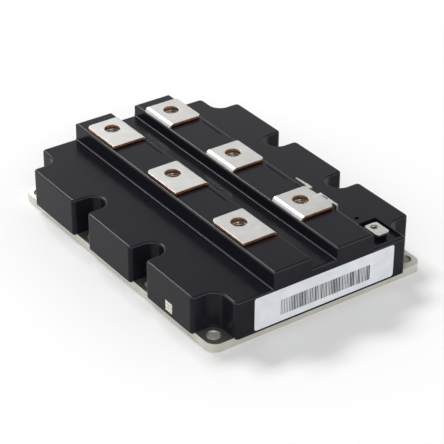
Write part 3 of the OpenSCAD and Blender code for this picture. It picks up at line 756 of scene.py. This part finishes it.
def thread_tree(material):
    """Winds a thread of triangular section at each point."""
    tree, desk, source, result = new_geometry_tree("Wind threads", [
        ("Pitch", "NodeSocketFloat"), ("Height", "NodeSocketFloat"),
        ("Radius", "NodeSocketFloat"), ("Depth", "NodeSocketFloat")])
    turns = desk.maths("DIVIDE", source.outputs["Height"], source.outputs["Pitch"])
    turns = desk.maths("SUBTRACT", turns, 0.6)
    rise = desk.maths("MULTIPLY", turns, source.outputs["Pitch"])
    winding = desk.put("GeometryNodeCurveSpiral", Resolution=40, Rotations=turns, Height=rise)
    for name in ("Start Radius", "End Radius"):
        desk.feed(winding, name, source.outputs["Radius"])
    section = desk.put("GeometryNodeCurvePrimitiveCircle", Resolution=3, Radius=source.outputs["Depth"])
    swept = desk.put("GeometryNodeCurveToMesh", Curve=winding.outputs[0])
    desk.feed(swept, "Profile Curve", section.outputs[0])
    swept.inputs["Fill Caps"].default_value = True
    lift = desk.put("ShaderNodeCombineXYZ", Z=desk.maths("MULTIPLY", source.outputs["Pitch"], 0.3))
    raised = desk.put("GeometryNodeTransform", Geometry=swept.outputs[0], Translation=lift.outputs[0])
    placed = desk.put("GeometryNodeInstanceOnPoints", Points=source.outputs["Geometry"],
                      Instance=raised.outputs[0])
    close_tree(desk, result, placed.outputs[0], material)
    return tree


def bar_tree(material):
    """Row of upright bars of random width from one start point."""
    tree, desk, source, result = new_geometry_tree("Bar pattern", [
        ("Bars", "NodeSocketInt"), ("Length", "NodeSocketFloat"), ("Rise", "NodeSocketFloat"),
        ("Thickness", "NodeSocketFloat"), ("Seed", "NodeSocketInt")])
    gaps = desk.maths("SUBTRACT", source.outputs["Bars"], 1.0)
    step = desk.maths("DIVIDE", source.outputs["Length"], gaps)
    offset = desk.put("ShaderNodeCombineXYZ", Y=step)
    row = desk.put("GeometryNodeMeshLine", Count=source.outputs["Bars"], Offset=offset.outputs[0])
    half = desk.put("ShaderNodeCombineXYZ", Z=desk.maths("DIVIDE", source.outputs["Rise"], 2.0))
    raised = desk.put("GeometryNodeTransform", Geometry=row.outputs[0], Translation=half.outputs[0])
    width = desk.put("FunctionNodeRandomValue", {"data_type": "INT"}, Seed=source.outputs["Seed"])
    width.inputs[4].default_value = 1
    width.inputs[5].default_value = 3
    share = desk.maths("ADD", desk.maths("MULTIPLY", width.outputs[2], 0.19), 0.16)
    scale = desk.put("ShaderNodeCombineXYZ", X=source.outputs["Thickness"],
                     Y=desk.maths("MULTIPLY", step, share), Z=source.outputs["Rise"])
    bar = desk.put("GeometryNodeMeshCube")
    strokes = desk.put("GeometryNodeInstanceOnPoints", Points=raised.outputs[0], Instance=bar.outputs[0],
                       Scale=scale.outputs[0])
    anchor = desk.put("GeometryNodeInstanceOnPoints", Points=source.outputs["Geometry"],
                      Instance=strokes.outputs[0])
    close_tree(desk, result, anchor.outputs[0], material)
    return tree


# ---------- stage ----------


def make_floor(stage):
    mesh = bpy.data.meshes.new("floor")
    corners = [(x * FLOOR_HALF, y * FLOOR_HALF, -FLOOR_DROP) for x, y in ((-1, -1), (1, -1), (1, 1), (-1, 1))]
    mesh.from_pydata(corners, [], [(0, 1, 2, 3)])
    floor = bpy.data.objects.new("floor", mesh)
    bpy.context.scene.collection.objects.link(floor)
    material = bpy.data.materials.new("pale_floor")
    material.use_nodes = True
    tree = material.node_tree
    tree.nodes.clear()
    desk = NodeDesk(tree)
    matt = desk.put("ShaderNodeBsdfDiffuse", Color=rgba(stage.floor))
    glow = desk.put("ShaderNodeEmission", Color=(1.0, 1.0, 1.0, 1.0), Strength=FLOOR_GLOW)
    path = desk.put("ShaderNodeLightPath")
    seen = desk.maths("MAXIMUM", path.outputs["Is Camera Ray"], path.outputs["Is Glossy Ray"])
    seen = desk.maths("MAXIMUM", seen, path.outputs["Is Transmission Ray"])
    both = desk.put("ShaderNodeAddShader")
    desk.feed(both, "0", matt.outputs[0])
    desk.feed(both, "1", glow.outputs[0])
    choice = desk.put("ShaderNodeMixShader", Fac=seen)
    desk.feed(choice, "1", matt.outputs[0])
    desk.feed(choice, "2", both.outputs[0])
    out = desk.put("ShaderNodeOutputMaterial")
    desk.feed(out, "Surface", choice.outputs[0])
    mesh.materials.append(material)


def make_world(stage):
    world = bpy.data.worlds.new("studio")
    bpy.context.scene.world = world
    world.use_nodes = True
    tree = world.node_tree
    tree.nodes.clear()
    desk = NodeDesk(tree)
    place = desk.put("ShaderNodeTexCoord").outputs["Generated"]
    rise = desk.put("ShaderNodeSeparateXYZ", Vector=place).outputs[2]
    ceiling = desk.put("ShaderNodeMapRange", {"interpolation_type": "SMOOTHSTEP"}, Value=rise)
    for index, value in (("1", HAZE[0]), ("2", HAZE[1]), ("3", HORIZON), ("4", stage.fill)):
        desk.feed(ceiling, index, value)
    sky = desk.put("ShaderNodeBackground", Color=(1.0, 1.0, 1.0, 1.0), Strength=ceiling.outputs[0])
    out = desk.put("ShaderNodeOutputWorld")
    desk.feed(out, "Surface", sky.outputs[0])


def soft_light(name, lamp_spec, aim, power):
    """Rectangular lamp that faces the aim. Its second size lies level."""
    offset, size = lamp_spec
    data = bpy.data.lights.new(name, "AREA")
    data.shape = "RECTANGLE"
    data.size, data.size_y = size
    data.energy = power
    lamp = bpy.data.objects.new(name, data)
    lamp.location = aim + offset
    lamp.rotation_euler = (aim - lamp.location).to_track_quat("-Z", "X").to_euler()
    bpy.context.scene.collection.objects.link(lamp)


def make_camera(stage, middle):
    turn, lift = stage.azimuth, stage.elevation
    ahead = Vector((-math.sin(turn) * math.cos(lift), math.cos(turn) * math.cos(lift), -math.sin(lift)))
    right = Vector((math.cos(turn), math.sin(turn), 0.0))
    up = right.cross(ahead)
    cos_roll, sin_roll = math.cos(stage.roll), math.sin(stage.roll)
    right, up = right * cos_roll + up * sin_roll, up * cos_roll - right * sin_roll
    place = middle - ahead * stage.distance + right * stage.aim_shift[0] + up * stage.aim_shift[1]
    data = bpy.data.cameras.new("camera")
    data.sensor_width = 36.0
    data.lens = stage.lens
    data.clip_start = 0.01
    camera = bpy.data.objects.new("camera", data)
    basis = Matrix((right, up, -ahead)).transposed().to_4x4()
    camera.matrix_world = Matrix.Translation(place) @ basis
    bpy.context.scene.collection.objects.link(camera)
    bpy.context.scene.camera = camera


class MODULE_PT_panel(bpy.types.Panel):
    """Lists the settings and steps of the module's finish"""

    bl_label = "IGBT module"
    bl_idname = "MODULE_PT_panel"
    bl_space_type = "VIEW_3D"
    bl_region_type = "UI"
    bl_category = "Module"

    def draw(self, context):
        scene = context.scene
        for group in (scene.module_plastic, scene.module_metal, scene.module_label, scene.module_stage):
            box = self.layout.box()
            for name in group.__annotations__:
                box.prop(group, name)
        for operator in STEPS:
            self.layout.operator(operator.bl_idname)


STEPS = (MODULE_OT_plate, MODULE_OT_housing, MODULE_OT_terminals, MODULE_OT_nuts, MODULE_OT_label,
         MODULE_OT_inside, MODULE_OT_stage)
GROUPS = {"module_plastic": PlasticSettings, "module_metal": MetalSettings,
          "module_label": LabelSettings, "module_stage": StageSettings}


def register():
    for name, group in GROUPS.items():
        bpy.utils.register_class(group)
        setattr(bpy.types.Scene, name, bpy.props.PointerProperty(type=group))
    for item in (*STEPS, MODULE_PT_panel):
        bpy.utils.register_class(item)


def unregister():
    for item in reversed((*STEPS, MODULE_PT_panel)):
        bpy.utils.unregister_class(item)
    for name, group in GROUPS.items():
        delattr(bpy.types.Scene, name)
        bpy.utils.unregister_class(group)


def main():
    register()
    bpy.context.scene.view_settings.view_transform = "Standard"
    bpy.ops.module.plate()
    bpy.ops.module.housing()
    bpy.ops.module.terminals()
    bpy.ops.module.nuts()
    bpy.ops.module.label()
    bpy.ops.module.inside()
    bpy.ops.module.stage()
    bpy.context.view_layer.update()


if __name__ == "__main__":
    main()
